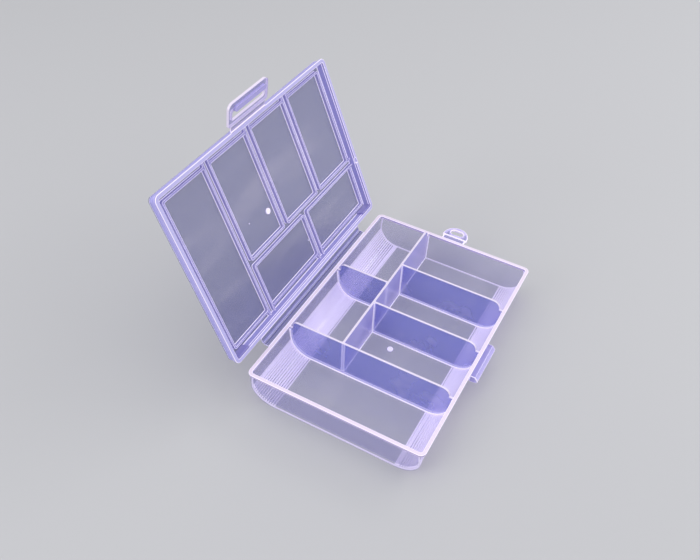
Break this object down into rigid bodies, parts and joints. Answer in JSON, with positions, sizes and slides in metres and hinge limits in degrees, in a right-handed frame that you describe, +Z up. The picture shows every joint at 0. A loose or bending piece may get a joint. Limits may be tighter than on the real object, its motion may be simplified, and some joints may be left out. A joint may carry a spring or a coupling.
{
  "type": "bead organizer box",
  "caption": "Clear hinged organizer box for beads: a shallow tray divided into cells, a ribbed lid on a film hinge, a fold-over latch flap and a hanging tab.",
  "frame": {"origin": "centre of the tray's flat bottom, between the outer edges of the tray rim", "axes": "+X along the hinge towards the hang tab, +Y towards the hinge, +Z up"},
  "size_m": [0.145, 0.1357, 0.1201],
  "materials": {
    "tray_plastic": "clear, faintly lavender, moulded gloss",
    "lid_plastic": "clear, faintly lavender, finely frosted panel",
    "latch_plastic": "clear, faintly lavender, moulded gloss"
  },
  "bodies": {
    "tray": {"tray_shell": "tray_plastic", "tray_rim": "tray_plastic", "wide_divider": "tray_plastic", "long_divider": "tray_plastic", "latch_divider_mid": "tray_plastic", "latch_divider_far": "tray_plastic", "hinge_divider": "tray_plastic", "latch_catch": "tray_plastic", "hang_tab": "tray_plastic", "tray_hinge_leaf": "tray_plastic", "tray_gate_mark": "tray_plastic"},
    "lid": {"lid_panel": "lid_plastic", "lid_skirt": "lid_plastic", "lid_rim": "lid_plastic", "frame_wide": "lid_plastic", "frame_latch_near": "lid_plastic", "frame_latch_mid": "lid_plastic", "frame_latch_far": "lid_plastic", "frame_hinge_near": "lid_plastic", "frame_hinge_far": "lid_plastic", "lid_hinge_leaf": "lid_plastic", "lid_lug_near": "lid_plastic", "lid_lug_far": "lid_plastic", "lid_gate_mark": "lid_plastic"},
    "latch": {"latch_root": "latch_plastic", "latch_plate": "latch_plastic", "latch_bar": "latch_plastic"}
  },
  "joints": [
    {"name": "lid_hinge", "type": "hinge", "parent": "tray", "child": "lid", "pos_m": [0, 0.04796, 0.01875], "axis": [-1, 0, 0], "range_deg": [-112, 68]},
    {"name": "latch_fold", "type": "hinge", "parent": "lid", "child": "latch", "pos_m": [0, 0.08323, 0.10525], "axis": [1, 0, 0], "range_deg": [-58, 62]}
  ]
}
